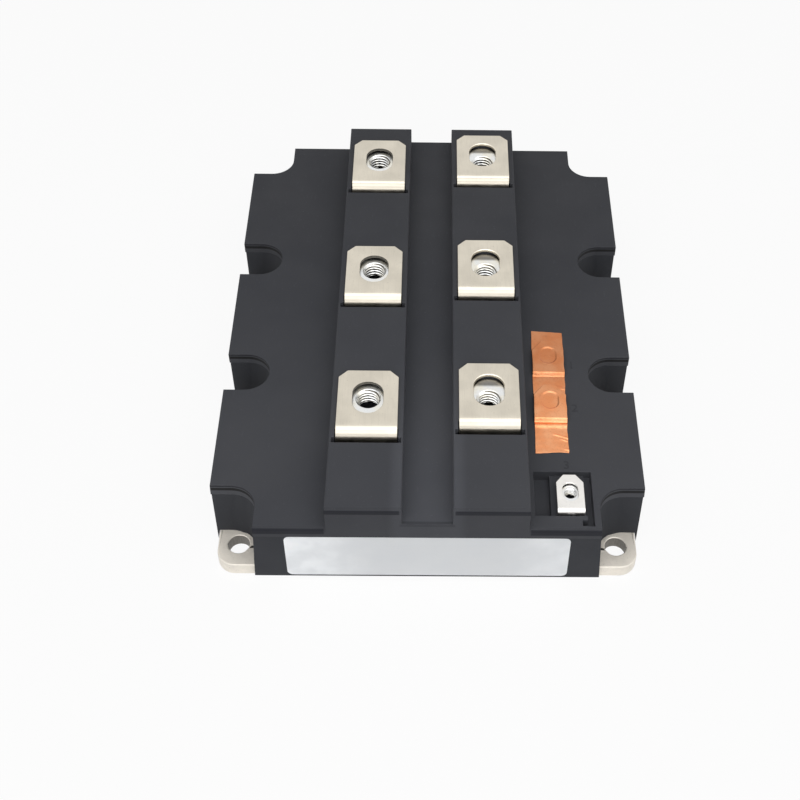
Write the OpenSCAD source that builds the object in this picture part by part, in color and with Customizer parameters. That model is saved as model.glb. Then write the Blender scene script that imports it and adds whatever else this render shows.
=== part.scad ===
// High-voltage IGBT power module, 190 x 140 x 38 mm class.
// Frame: X across the module, Y along it with the label end at -Y, Z up from the mounting face.

/* [Cover and frame] */
// Overall width of the cover
cover_w = 140; // [139:0.5:146]
// Overall length of the cover
cover_l = 190; // [189:0.5:198]
// Height of the flat wings above the mounting face
wing_z = 26.6; // [26.2:0.1:26.9]
// Height of the two ridges that carry the main terminals
ridge_z = 36.8; // [36:0.1:38]
// Height of the valley between the ridges
valley_z = 29.6; // [28.5:0.1:33]
// Height of the seam between the frame and the cover
seam_z = 22.4; // [22:0.1:22.8]
// Width of each ridge
ridge_w = 24; // [23.6:0.1:25]
// Thickness of the cover's tops
top_wall = 2.5; // [2:0.1:3]
// Thickness of the ridges' long side walls
ridge_wall = 1.6; // [1.2:0.1:1.7]
// Thickness of the frame's walls
frame_wall = 2.6; // [2:0.1:3]
// Setback of the frame's walls behind the edge of the cover
frame_set = 0.3; // [0.1:0.05:0.6]
// Thickness of the frame's skirt in front of the base plate's edge
skirt_t = 0.8; // [0.6:0.05:1.2]
// Height of the skirt's lower edge above the mounting face
skirt_lift = 0.5; // [0.2:0.1:1.5]
// Chamfer on the end edges of the ridges and wings
end_chamfer = 1.0; // [0.5:0.1:1.4]
// Chamfer along the ridges' top edges
edge_chamfer = 0.35; // [0.2:0.05:0.6]
// Depth of the rim that locates the cover inside the frame
rim_h = 2.0; // [1:0.1:2.5]
// Thickness of that rim
rim_t = 1.2; // [0.8:0.1:1.5]
// Clearance between mating moulded parts
fit_gap = 0.1; // [0.05:0.01:0.15]
// Clearance between the locating rim and the frame
rim_gap = 0.2; // [0.1:0.05:0.3]

/* [Base plate and bolts] */
// Thickness of the base plate
plate_t = 5; // [4.5:0.1:5.5]
// Corner radius of the base plate
plate_r = 6; // [4:0.5:7]
// Distance from the cover's ends to the corner mounting holes
bolt_end = 9.5; // [9:0.1:10.5]
// Distance from the cover's sides to the mounting holes
bolt_side = 8; // [7.6:0.1:8.6]
// Radius of the mounting holes
bolt_r = 3.5; // [2.8:0.1:4]
// Width of the housing's notch round each bolt
notch_w = 16.2; // [14.5:0.1:17]
// Depth of the notches from the cover's sides
notch_depth = 15; // [14.5:0.1:15.5]
// Distance from a corner bolt back to the wall behind it
corner_set = 7.4; // [7:0.1:8.5]
// Lean of the notch walls, in degrees
notch_lean = 3.4; // [0:0.2:4]

/* [Main terminals] */
// Distance between the two rows of main terminals
row_pitch = 40; // [39:0.5:42]
// Distance from the cover's near end to the first collector hole
collector_near = 45.3; // [44:0.1:46]
// Distance from the cover's far end to the last collector hole
collector_far = 21.7; // [21:0.1:22.5]
// Shift of the emitter row along the module
row_shift = 3.7; // [3.2:0.1:5]
// Shift of the captive nuts of both rows from the middle of the collectors' holes
nut_shift = 1.2; // [1:0.1:1.5]
// Thickness of the terminal sheet
bar_t = 1.2; // [1:0.05:1.4]
// Width of a terminal
bar_w = 20; // [18:0.5:20.4]
// Length of a terminal's top from its fold face to its far edge
bar_l = 28.9; // [27.5:0.1:30]
// Distance from the fold face to the centre of the hole
hole_set = 16.5; // [16.2:0.1:17.5]
// Outer radius of the fold
fold_r = 3.7; // [2.5:0.1:4.5]
// Chamfer of the far corners
bar_chamfer = 2.9; // [2:0.1:4]
// Width of the terminal's slotted hole
slot_w = 10.2; // [9:0.1:11]
// Length of the terminal's slotted hole
slot_l = 13.6; // [12:0.1:14.6]
// Room in the ridge in front of the fold
fold_room = 1.8; // [1.2:0.1:2.4]
// Depth of thread and screw below the top of the terminal
screw_depth = 16.5; // [15.5:0.1:17]
// Radius of the well for the screw's end
screw_well_r = 4.9; // [4.3:0.1:5.5]

/* [Captive nuts] */
// Size across flats of the main nuts
nut_af = 13; // [12.6:0.1:13.2]
// Height of the main nuts
nut_h = 6.5; // [5.8:0.1:6.8]
// Radius of the main nuts' bore at the thread crests
nut_bore_r = 3.35; // [3:0.05:3.6]
// Clearance above a main nut under its terminal
nut_drop = 0.4; // [0.2:0.05:0.8]
// Clearance round a captive nut in its pocket
nut_play = 0.35; // [0.15:0.05:0.5]
// Size across flats of the auxiliary nuts
aux_nut_af = 7; // [6.6:0.1:7.4]
// Height of the auxiliary nuts
aux_nut_h = 3.2; // [2.6:0.1:3.2]
// Radius of the auxiliary nuts' bore at the thread crests
aux_bore_r = 1.65; // [1.4:0.05:1.9]

/* [Auxiliary terminals] */
// Height of the auxiliary terminals' tops above the wings
aux_rise = 1.4; // [1.1:0.1:1.6]
// Thickness of the auxiliary terminals
aux_t = 0.8; // [0.6:0.05:1]
// Width of an auxiliary terminal's tab
aux_w = 8.8; // [8:0.1:9]
// Length of an auxiliary terminal's tab
aux_l = 14.7; // [14:0.1:15.2]
// Distance from an auxiliary terminal's fold face to its hole
aux_hole_set = 7.8; // [7.2:0.1:8]
// Outer radius of an auxiliary terminal's fold
aux_fold_r = 1.6; // [1.2:0.1:1.9]
// Width of an auxiliary terminal's slotted hole
aux_slot_w = 5.1; // [4.4:0.1:5.4]
// Length of an auxiliary terminal's slotted hole
aux_slot_l = 7.4; // [6.4:0.1:7.8]
// Distance from the emitter ridge to the middle of the gate and emitter sense terminals
sense_side = 8.8; // [8.4:0.1:9.2]
// Distance from the cover's near end to the gate terminal's hole
gate_end = 74.2; // [73.6:0.1:74.8]
// Distance from the cover's near end to the emitter sense terminal's hole
emitter_sense_end = 53.4; // [52.8:0.1:54]
// Distance from the waist of the housing to the middle of the collector sense terminal
collector_sense_side = 9.4; // [9.2:0.1:9.6]
// Distance from the cover's near end to the collector sense terminal's hole
collector_sense_end = 14.5; // [14.2:0.1:14.8]
// Depth of thread and screw below the top of an auxiliary terminal
aux_screw_depth = 7.7; // [6.8:0.1:7.9]
// Radius of the well for an auxiliary screw's end
aux_well_r = 2.6; // [2.2:0.1:3]
// Depth of the recess round the collector sense terminal
recess_depth = 2.3; // [1.8:0.1:2.6]
// Depth of the pocket beside it
pocket_depth = 4.5; // [3.5:0.1:4.8]

/* [Tape and label] */
// Width of the shorting tape
tape_w = 11; // [10.4:0.1:12]
// Length of tape beyond the emitter sense terminal's hole
tape_near = 22; // [18:0.1:23]
// Length of tape beyond the gate terminal's hole
tape_far = 12.5; // [10:0.1:13]
// Thickness of the shorting tape
tape_t = 0.15; // [0.1:0.01:0.2]
// Turn of the tape out of line, in degrees
tape_turn = -0.7; // [-1:0.1:1]
// Width of the blank label
label_w = 91; // [80:0.5:96]
// Height of the label's lower edge above the mounting face
label_z = 1.4; // [0.8:0.1:3]
// Distance from the label's upper edge to the seam
label_gap = 0.2; // [0.1:0.1:3]
// Corner radius of the label
label_r = 2; // [1:0.1:3]
// Thickness of the label
label_t = 0.15; // [0.1:0.01:0.2]

/* [Substrates, dies and gel] */
// Room between the substrates and the waist of the frame
tile_room = 4.4; // [3.4:0.1:5]
// Gap between the two rows of substrates
tile_gap = 2; // [1:0.1:3]
// Gap between substrates along a row
tile_step = 5.5; // [4.5:0.1:6.5]
// Room between the end substrates and the frame's end walls
tile_end = 2.6; // [2:0.1:3.2]
// Distance from a substrate's middle to its collector hole
tile_set = 11.8; // [11:0.1:12.4]
// Thickness of the ceramic
ceramic_t = 1; // [0.6:0.05:1.2]
// Thickness of the copper on each face of the ceramic
copper_t = 0.3; // [0.2:0.02:0.4]
// Bare margin of ceramic round the copper
copper_margin = 1; // [0.6:0.1:1.5]
// Width of a diode die
diode_w = 9; // [8:0.1:11]
// Gap between neighbouring dies
die_gap = 1; // [0.6:0.1:2]
// Room between a die and the edge of its copper
die_edge = 1.4; // [1:0.1:2]
// Thickness of a die on its solder
die_t = 0.4; // [0.3:0.02:0.5]
// Width of a bond wire
wire_w = 0.4; // [0.3:0.05:0.5]
// Height of a bond wire's loop above the copper
wire_rise = 2.2; // [1.6:0.1:2.4]
// Height of the gate board's underside above the mounting face
board_z = 10; // [9.6:0.1:10.4]
// Thickness of the gate board
board_t = 1.2; // [1:0.1:1.6]
// Height of the gel's surface above the mounting face
gel_z = 13; // [12.6:0.1:13.4]
// Depth of the clear space over each substrate under the gel
gel_clear = 4.4; // [4.2:0.1:4.6]

/* [Hidden] */
// Smoothness of large, small and tiny round edges
big_fn = 32;
mid_fn = 18;
small_fn = 16;
// How far a cutting tool runs past what it cuts
over = 1;
reach = 40;
rows = [-1, 0, 1];

// Places that follow from the cover's edges
bolt_span = cover_w - 2 * bolt_side;
bolt_pitch = (cover_l - 2 * bolt_end) / 3;
waist_w = cover_w - 2 * notch_depth;
terminal_pitch = (cover_l - collector_near - collector_far) / 2;
collector_y = collector_near - cover_l / 2 + terminal_pitch;
sense_x = row_pitch / 2 + ridge_w / 2 + sense_side;
gate_y = gate_end - cover_l / 2;
emitter_sense_y = emitter_sense_end - cover_l / 2;
collector_sense_x = waist_w / 2 - collector_sense_side;
collector_sense_y = collector_sense_end - cover_l / 2;

frame_w = cover_w - 2 * frame_set;
frame_l = cover_l - 2 * frame_set;
plate_w = frame_w - 2 * (skirt_t + fit_gap);
plate_l = frame_l - 2 * (skirt_t + fit_gap);

// Main terminals and their pockets
bar_top = ridge_z + bar_t;
nut_floor = ridge_z - nut_drop - nut_h;
well_floor = bar_top - screw_depth;
well_skin = 1.5;
boss_l = 19;
slot_side = 0.3;
ear_side = 1.3;
ear_l = 2.2;
// Clearance of the cross bars from the nut bosses above and the gel below
cross_gap = 1;
cross_top = well_floor - well_skin - cross_gap;
cross_bottom = gel_z + cross_gap;

// Auxiliary terminals and their seats
aux_z = wing_z + aux_rise;
aux_under = aux_z - aux_t;
aux_nut_drop = 0.3;
aux_skin = 1.3;
// Set-back of a nut's bearing face inside its flats, and its countersink as a share of the bore
nut_bevel = 0.25;
nut_sink = 0.2;
aux_nut_floor = aux_under - aux_nut_drop - aux_nut_h;
aux_well_floor = aux_z - aux_screw_depth;
aux_block_z = aux_well_floor - aux_skin;
aux_leg_w = 2.4;
aux_leg_gap = 0.4;
sense_foot_bite = 2.2;
aux_corner = [2.4, 3.1];
aux_boss_w = 8;
aux_fold_room = 1.2;
recess_left = 6.2;
recess_right = 5.1;
recess_far = 9.1;
recess_near = 8.6;
pocket_wall = 2.1;
pocket_left = max(recess_left + over,
    collector_sense_x - row_pitch / 2 - ridge_w / 2 - pocket_wall);
groove_w = 2.1;
groove_near = 12.6;
groove_step = 0.9;
peg_hole_set = 0.2;
peg_hole_w = 2.2;
block_side = 1.6;
// Each seat is the middle of its hole
gate_at = [sense_x, gate_y];
emitter_sense_at = [sense_x, emitter_sense_y];
collector_sense_at = [collector_sense_x, collector_sense_y];
seats = [gate_at, emitter_sense_at, collector_sense_at];

// Heights of the stack on the base plate
ceramic_z = plate_t + copper_t;
pad_z = ceramic_z + ceramic_t;
pad_top = pad_z + copper_t;
die_top = pad_top + die_t;
tile_w = waist_w / 2 - frame_wall - tile_room - tile_gap / 2;
tile_l = min(terminal_pitch - tile_step, frame_l - 2 * (frame_wall + tile_end + terminal_pitch));
tile_x = tile_gap / 2 + tile_w / 2;
pad_w = tile_w - 2 * copper_margin;
pad_l = tile_l - 2 * copper_margin;
// Copper layout, measured from a substrate's centre towards its outer side and the far end
pad_gap = 0.8;
rail_w = 7;
strip_w = 16;
track_w = 1.8;
foot_l = 4;
wire_bite = 1.6;
wire_foot = 1;
rail_foot_w = 5.4;
strip_foot_w = 8;
strip_high = tile_set + row_shift - hole_set + bar_t + foot_l + wire_bite + pad_gap / 2;
strip_low = strip_high - strip_w;
field_end = pad_l / 2 - track_w - pad_gap;
rail_edge = pad_w / 2 - rail_w;
strip_foot_set = 6;
strip_foot_x = tile_gap / 2 + copper_margin + strip_foot_w / 2 + strip_foot_set;
rail_foot_x = tile_x + pad_w / 2 - rail_w / 2;
// Dies: two transistors and a diode in a row on each side of the emitter strip
igbt_w = (pad_w - rail_w - 2 * die_edge - 2 * die_gap - diode_w) / 2;
far_field = field_end - strip_high - pad_gap;
near_field = field_end + strip_low - pad_gap;
die_l = min(far_field, near_field) - 2 * die_edge;
far_die_y = field_end - far_field / 2;
near_die_y = near_field / 2 - field_end;
die_xs = [
    -pad_w / 2 + die_edge + igbt_w / 2,
    -pad_w / 2 + die_edge + die_gap + igbt_w * 1.5,
    -pad_w / 2 + die_edge + 2 * die_gap + igbt_w * 2 + diode_w / 2
];

// Gate board between the terminals' feet, its pins and its arms
board_w = 10;
board_x = (strip_foot_x + strip_foot_w / 2 + rail_foot_x - rail_foot_w / 2) / 2;
board_in = board_x - board_w / 2;
board_out = board_x + board_w / 2;
pin_w = 1;
pin_y = pad_l / 2 - track_w / 2;
board_edge = 1.5;
board_end = terminal_pitch + pin_y + board_edge;
link_w = 8;
link_y = terminal_pitch / 2;
arm_end = sense_x + aux_leg_w / 2 + 2 * over;

// Tape path along the module as heights above the cover's wings and the tabs
tape_air = 0.05;
tape_low = wing_z + tape_air;
tape_high = aux_z + tape_air;
tape_ramp = 1.6;
tape_l = gate_y - emitter_sense_y + tape_near + tape_far;
tape_y = emitter_sense_y - tape_near;

label_h = seam_z - label_z - label_gap;

// ---- helpers ----

module block(x, y, z) {
    translate([x[0], y[0], z[0]]) cube([x[1] - x[0], y[1] - y[0], z[1] - z[0]]);
}

module plan_rect(x, y) {
    translate([x[0], y[0]]) square([x[1] - x[0], y[1] - y[0]]);
}

// Extrudes a plan drawn in Y and Z along X
module along_x(x0, x1) {
    translate([x0, 0, 0]) rotate([90, 0, 90]) linear_extrude(height = x1 - x0) children();
}

// Extrudes a plan drawn in X and Z along Y
module along_y(y0, y1) {
    translate([0, y1, 0]) rotate([90, 0, 0]) linear_extrude(height = y1 - y0) children();
}

module each_quarter() {
    for (sx = [0, 1]) mirror([sx, 0, 0]) for (sy = [0, 1]) mirror([0, sy, 0]) children();
}

module obround(w, l, fn) {
    for (s = [-1, 1]) translate([0, s * (l - w) / 2]) circle(d = w, $fn = fn);
    square([w, l - w], center = true);
}

module rounded_rect(w, l, r, fn) {
    square([w - 2 * r, l], center = true);
    square([w, l - 2 * r], center = true);
    for (sx = [-1, 1], sy = [-1, 1]) {
        translate([sx * (w / 2 - r), sy * (l / 2 - r)]) circle(r = r, $fn = fn);
    }
}

// ---- housing outline ----

// Plan of a side notch: its rounded end reaches x = -grow and it opens towards +X
module notch_plan(grow) {
    r = notch_w / 2 + grow;
    translate([notch_w / 2, 0]) circle(r = r, $fn = big_fn);
    plan_rect([notch_w / 2, reach], [-r, r]);
}

// Plan of a corner cut-out, with the same rounding and open towards +X and +Y
module corner_plan(grow) {
    r = notch_w / 2 + grow;
    back = -corner_set + notch_w / 2;
    translate([notch_w / 2, back]) circle(r = r, $fn = big_fn);
    plan_rect([notch_w / 2, reach], [back - r, reach]);
    plan_rect([-grow, reach], [back, reach]);
}

module quarter_cuts(grow, lean, low, high) {
    translate([waist_w / 2, bolt_pitch / 2, seam_z]) rotate([0, -lean, 0]) {
        translate([0, 0, low - seam_z]) linear_extrude(height = high - low) notch_plan(grow);
    }
    translate([waist_w / 2, 1.5 * bolt_pitch, seam_z]) rotate([0, -lean, 0]) {
        translate([0, 0, low - seam_z]) linear_extrude(height = high - low) corner_plan(grow);
    }
}

// Solid of the frame's outline, inset evenly by grow
module frame_block(grow, low, high) {
    w = frame_w / 2 - grow;
    l = frame_l / 2 - grow;
    difference() {
        block([-w, w], [-l, l], [low, high]);
        each_quarter() quarter_cuts(grow, notch_lean, low - reach / 4, high + reach / 4);
    }
}

// Solid of the cover's outline, inset evenly by grow
module cover_block(grow, low, high) {
    w = cover_w / 2 - grow;
    l = cover_l / 2 - grow;
    difference() {
        block([-w, w], [-l, l], [low, high]);
        each_quarter() quarter_cuts(grow, 0, low - over, high + over);
    }
}

// ---- base plate and frame ----

module plate_plan(grow) {
    rounded_rect(plate_w + 2 * grow, plate_l + 2 * grow, plate_r + grow, big_fn);
}

module base_plate() {
    color("#c2bbae") difference() {
        linear_extrude(height = plate_t) plate_plan(0);
        each_quarter() for (y = [0.5, 1.5]) {
            translate([bolt_span / 2, y * bolt_pitch, -over]) {
                cylinder(r = bolt_r, h = plate_t + 2 * over, $fn = mid_fn);
            }
        }
    }
}

// Wall ring with a thin skirt that hides the base plate's edge
module case_frame() {
    color("#3e4046") difference() {
        frame_block(0, skirt_lift, seam_z);
        frame_block(frame_wall, plate_t - over, seam_z + over);
        translate([0, 0, -over]) linear_extrude(height = plate_t + over) plate_plan(fit_gap);
    }
}

// ---- cover ----

function end_profile(low, high, half, chamfer) = [
    [-half, low], [half, low], [half, high - chamfer], [half - chamfer, high],
    [chamfer - half, high], [-half, high - chamfer]
];

function ridge_profile(low) = [
    [-ridge_w / 2, low], [ridge_w / 2, low], [ridge_w / 2, ridge_z - edge_chamfer],
    [ridge_w / 2 - edge_chamfer, ridge_z], [edge_chamfer - ridge_w / 2, ridge_z],
    [-ridge_w / 2, ridge_z - edge_chamfer]
];

module ridge(x) {
    intersection() {
        along_x(x - ridge_w / 2, x + ridge_w / 2) {
            polygon(end_profile(seam_z, ridge_z, cover_l / 2, end_chamfer));
        }
        translate([x, 0, 0]) along_y(-cover_l / 2, cover_l / 2) polygon(ridge_profile(seam_z));
    }
}

module cover_skin() {
    valley = row_pitch / 2 - ridge_w / 2;
    intersection() {
        along_x(-cover_w / 2, cover_w / 2) {
            polygon(end_profile(seam_z, wing_z, cover_l / 2, end_chamfer));
        }
        cover_block(0, seam_z, wing_z);
    }
    for (s = [-1, 1]) ridge(s * row_pitch / 2);
    block([-valley, valley], [-cover_l / 2, cover_l / 2], [seam_z, valley_z]);
}

module cover_hollow() {
    inner = ridge_w / 2 - ridge_wall;
    valley = row_pitch / 2 - inner;
    l = cover_l / 2 - top_wall;
    cover_block(top_wall, seam_z - over, wing_z - top_wall);
    for (s = [-1, 1]) {
        x = s * row_pitch / 2;
        block([x - inner, x + inner], [-l, l], [seam_z - over, ridge_z - top_wall]);
    }
    block([-valley, valley], [-l, l], [seam_z - over, valley_z - top_wall]);
}

module locating_rim() {
    outer = frame_wall + rim_gap;
    difference() {
        frame_block(outer, seam_z - rim_h, seam_z + top_wall - over);
        frame_block(outer + rim_t, seam_z - rim_h - over, seam_z + top_wall);
    }
}

module nut_boss(at) {
    inner = ridge_w / 2 - ridge_wall;
    block([at[0] - inner, at[0] + inner], [at[1] - boss_l / 2, at[1] + boss_l / 2],
        [well_floor - well_skin, ridge_z - top_wall]);
}

module hex_hole(af, low, high) {
    translate([0, 0, low]) rotate([0, 0, 30]) {
        cylinder(d = af / cos(30), h = high - low, $fn = 6);
    }
}

// Hexagonal nut pocket over the well for the screw's end
module nut_pocket(at) {
    translate([at[0], at[1], 0]) {
        hex_hole(nut_af + 2 * nut_play, nut_floor, ridge_z + over);
        translate([0, 0, well_floor]) cylinder(r = screw_well_r, h = ridge_z - well_floor, $fn = small_fn);
    }
}

// Slot that a folded sheet passes through, with its two ears
module fold_slot(at) {
    fold = at[1] - hole_set;
    slot = bar_w / 2 + slot_side;
    ear = bar_w / 2 + ear_side;
    high = [ridge_z - top_wall - over, ridge_z + over];
    block([at[0] - slot, at[0] + slot], [fold - fold_room, fold + fold_r + slot_side], high);
    block([at[0] - ear, at[0] + ear], [fold - fold_room, fold - fold_room + ear_l],
        [ridge_z - top_wall, ridge_z + over]);
}

// Material that carries an auxiliary terminal: a small boss on a deep block
module aux_block(at) {
    w = aux_w / 2 + block_side;
    near = at[1] - aux_hole_set - aux_fold_room - block_side;
    far = at[1] + aux_l - aux_hole_set;
    block([at[0] - w, at[0] + w], [near, far], [aux_block_z, wing_z - end_chamfer]);
}

module aux_boss(at) {
    fold = at[1] - aux_hole_set;
    far = fold + aux_l - aux_corner[1];
    block([at[0] - aux_boss_w / 2, at[0] + aux_boss_w / 2], [fold + aux_fold_r + aux_leg_gap, far],
        [aux_block_z, aux_under]);
}

// Pocket, screw well and leg slot of an auxiliary terminal
module aux_pocket(at) {
    fold = at[1] - aux_hole_set;
    translate([at[0], at[1], 0]) {
        hex_hole(aux_nut_af + 2 * nut_play, aux_nut_floor, aux_z);
        translate([0, 0, aux_well_floor]) {
            cylinder(r = aux_well_r, h = aux_z - aux_well_floor, $fn = small_fn);
        }
    }
    leg = aux_leg_w / 2 + aux_leg_gap;
    block([at[0] - leg, at[0] + leg], [fold - aux_leg_gap, fold + aux_t + aux_leg_gap],
        [aux_block_z - over, wing_z + over]);
}

// Room for a flush terminal's fold where the cover is not recessed
module fold_trench(at) {
    fold = at[1] - aux_hole_set;
    w = aux_w / 2 + slot_side;
    block([at[0] - w, at[0] + w], [fold - aux_leg_gap, fold + aux_fold_r + aux_leg_gap],
        [wing_z - recess_depth, wing_z + over]);
}

// Room for what hangs below the cover: its own outline above the seam, the frame's inside below
module cover_room(low) {
    frame_block(frame_wall + fit_gap, low, seam_z);
    cover_block(0, seam_z, wing_z);
}

// Stepped well of the bare collector sense terminal
module recess_block(at) {
    block([at[0] - pocket_left - block_side, at[0] + recess_right + groove_w + block_side / 2],
        [at[1] - groove_near - over, at[1] + recess_far + block_side],
        [wing_z - pocket_depth - block_side, wing_z - end_chamfer]);
}

module recess_cut(at) {
    high = wing_z + over;
    near = at[1] - recess_near;
    far = at[1] + recess_far;
    right = at[0] + recess_right;
    block([at[0] - recess_left - over, right + over / 2], [near, far], [wing_z - recess_depth, high]);
    block([at[0] - pocket_left, at[0] - recess_left], [near, far], [wing_z - pocket_depth, high]);
    block([right, right + groove_w], [at[1] - groove_near, far], [wing_z - recess_depth - groove_step, high]);
    peg = at[1] - groove_near + peg_hole_set;
    block([right - peg_hole_w + over / 2, right + over / 2], [peg, peg + peg_hole_w], [seam_z, high]);
}

module cover() {
    color("#45464a") difference() {
        union() {
            difference() {
                cover_skin();
                cover_hollow();
            }
            intersection() {
                locating_rim();
                cover_block(frame_wall, seam_z - rim_h, wing_z);
            }
            for (at = nut_places) nut_boss(at);
            intersection() {
                union() {
                    for (at = seats) aux_block(at);
                    recess_block(collector_sense_at);
                }
                cover_room(aux_block_z - over);
            }
            for (at = [gate_at, emitter_sense_at]) aux_boss(at);
        }
        for (at = nut_places) nut_pocket(at);
        for (at = main_holes) fold_slot(at);
        difference() {
            recess_cut(collector_sense_at);
            aux_boss(collector_sense_at);
        }
        for (at = [gate_at, emitter_sense_at]) fold_trench(at);
        for (at = seats) aux_pocket(at);
    }
    color("#45464a") difference() {
        aux_boss(collector_sense_at);
        aux_pocket(collector_sense_at);
    }
}

// ---- main terminals ----

collector_holes = [for (i = rows) [-row_pitch / 2, collector_y + i * terminal_pitch]];
emitter_holes = [for (i = rows) [row_pitch / 2, collector_y + row_shift + i * terminal_pitch]];
main_holes = concat(collector_holes, emitter_holes);
nut_places = [for (s = [-1, 1], i = rows) [
    s * row_pitch / 2, collector_y + nut_shift + i * terminal_pitch]];

// Section of a folded sheet in Y and Z, with its fold face at y = 0 and its top at z = top
module fold_section(top, thick, radius, length, bottom) {
    translate([radius, top - thick]) square([length - radius, thick]);
    plan_rect([0, thick], [bottom, top - radius]);
    intersection() {
        translate([radius, top - radius]) difference() {
            circle(r = radius, $fn = big_fn);
            circle(r = radius - thick, $fn = big_fn);
        }
        plan_rect([0, radius], [top - radius, top]);
    }
}

module far_corners(w, l, cut) {
    for (s = [0, 1]) mirror([s, 0]) {
        polygon([[w / 2 - cut[0], l], [w / 2 + over, l + over * cut[1] / cut[0]],
            [w / 2 + over, l - cut[1] - over * cut[1] / cut[0]], [w / 2, l - cut[1]]]);
    }
}

// Folded tab with chamfered far corners and a slotted hole
module folded_tab(w, l, hole, top, thick, radius, cut, slot, bottom) {
    difference() {
        along_x(-w / 2, w / 2) fold_section(top, thick, radius, l, bottom);
        translate([0, 0, top - thick - over]) linear_extrude(height = thick + 2 * over) {
            translate([0, hole]) obround(slot[0], slot[1], mid_fn);
            far_corners(w, l, cut);
        }
    }
}

// A main terminal with its cross bar and two feet.
// at is its hole, feet are the feet's positions across the module,
// toe is the direction that the feet point along the module.
module main_terminal(at, feet, foot_w, toe) {
    fold = at[1] - hole_set;
    foot_end = toe > 0 ? fold + bar_t + foot_l : fold - foot_l;
    color("#cfc6b8") {
        translate([at[0], fold, 0]) {
            folded_tab(bar_w, bar_l, hole_set, bar_top, bar_t, fold_r,
                [bar_chamfer, bar_chamfer], [slot_w, slot_l], cross_bottom);
        }
        block([min(feet[0] - foot_w / 2, at[0] - bar_w / 2), max(feet[1] + foot_w / 2, at[0] + bar_w / 2)],
            [fold, fold + bar_t], [cross_bottom, cross_top]);
        for (x = feet) {
            block([x - foot_w / 2, x + foot_w / 2], [fold, fold + bar_t], [pad_top, cross_bottom]);
            block([x - foot_w / 2, x + foot_w / 2],
                [min(fold, foot_end), max(fold + bar_t, foot_end)], [pad_top, pad_top + bar_t]);
        }
    }
}

module collector_terminal(i) {
    main_terminal(collector_holes[i - 1], [-rail_foot_x, rail_foot_x], rail_foot_w, -1);
}

module emitter_terminal(i) {
    main_terminal(emitter_holes[i - 1], [-strip_foot_x, strip_foot_x], strip_foot_w, 1);
}

// ---- nuts ----

// Hexagonal nut with chamfered corners and countersunk bore, standing on z = 0
module hex_nut(af, h, bore) {
    corner = af / 2 / cos(30);
    face = af / 2 - nut_bevel;
    rim = (corner + over - face) * tan(30);
    sink = bore * nut_sink;
    difference() {
        intersection() {
            hex_hole(af, 0, h);
            rotate_extrude($fn = small_fn) polygon([[0, 0], [face, 0], [corner + over, rim],
                [corner + over, h - rim], [face, h], [0, h]]);
        }
        translate([0, 0, -over]) cylinder(r = bore, h = h + 2 * over, $fn = small_fn);
        for (z = [0, 1]) translate([0, 0, z * h]) mirror([0, 0, z]) {
            translate([0, 0, -over]) {
                cylinder(r1 = bore + sink + over, r2 = bore, h = sink + over, $fn = small_fn);
            }
        }
    }
}

module main_nut(i) {
    at = nut_places[i - 1];
    color("#b9bec6") translate([at[0], at[1], nut_floor]) hex_nut(nut_af, nut_h, nut_bore_r);
}

module aux_nut(i) {
    at = seats[i - 1];
    color("#c9ccd0") translate([at[0], at[1], aux_nut_floor]) {
        hex_nut(aux_nut_af, aux_nut_h, aux_bore_r);
    }
}

// ---- auxiliary terminals ----

module aux_terminal(at, bottom) {
    fold = at[1] - aux_hole_set;
    leg = aux_leg_w / 2;
    color("#dcdcda") {
        translate([at[0], fold, 0]) {
            folded_tab(aux_w, aux_l, aux_hole_set, aux_z, aux_t, aux_fold_r,
                aux_corner, [aux_slot_w, aux_slot_l], wing_z - recess_depth + aux_leg_gap);
        }
        block([at[0] - leg, at[0] + leg], [fold, fold + aux_t], [bottom, wing_z]);
    }
}

module gate_terminal() {
    aux_terminal(gate_at, board_z + board_t);
}

module emitter_sense_terminal() {
    aux_terminal(emitter_sense_at, board_z + board_t);
}

module collector_sense_terminal() {
    fold = collector_sense_at[1] - aux_hole_set;
    leg = aux_leg_w / 2;
    aux_terminal(collector_sense_at, pad_top);
    color("#dcdcda") {
        block([collector_sense_x - leg, collector_sense_x + leg],
            [fold, tile_y(4) - pad_l / 2 + sense_foot_bite], [pad_top, pad_top + aux_t]);
    }
}

// ---- tape and label ----

// Height of the tape's underside at a distance along it: flat on the wing, raised over both tabs
tape_tabs = [for (at = [emitter_sense_at, gate_at]) [
    at[1] - aux_hole_set - tape_y, at[1] + aux_l - aux_hole_set - tape_y]];
tape_under = concat(
    [[0, tape_low]],
    [for (tab = tape_tabs, p = [
        [tab[0] - tape_ramp, tape_low], [tab[0] - tape_air, tape_high],
        [tab[1] + tape_air, tape_high], [tab[1] + tape_ramp, tape_low]
    ]) p],
    [[tape_l, tape_low]]
);
tape_over = [for (i = [len(tape_under) - 1:-1:0]) tape_under[i] + [0, tape_t]];

module shorting_tape() {
    color("#e3966c") translate([sense_x, tape_y, 0]) rotate([0, 0, tape_turn]) {
        along_x(-tape_w / 2, tape_w / 2) polygon(concat(tape_under, tape_over));
    }
}

module blank_label() {
    color("#dcdee0") translate([0, -frame_l / 2, label_z + label_h / 2]) rotate([90, 0, 0]) {
        linear_extrude(height = label_t) rounded_rect(label_w, label_h, label_r, small_fn);
    }
}

// ---- substrates ----

// Substrates 1 to 3 stand on the collector side, 4 to 6 on the emitter side
function tile_side(i) = i > 3 ? 1 : -1;
function tile_y(i) = collector_y - tile_set + rows[(i - 1) % 3] * terminal_pitch;

// Places children drawn for a substrate whose outer side points to +X
module on_tile(i) {
    translate([tile_side(i) * tile_x, tile_y(i), 0]) mirror([tile_side(i) > 0 ? 0 : 1, 0, 0]) children();
}

module slab(x, y, low, thick) {
    block(x, y, [low, low + thick]);
}

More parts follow.
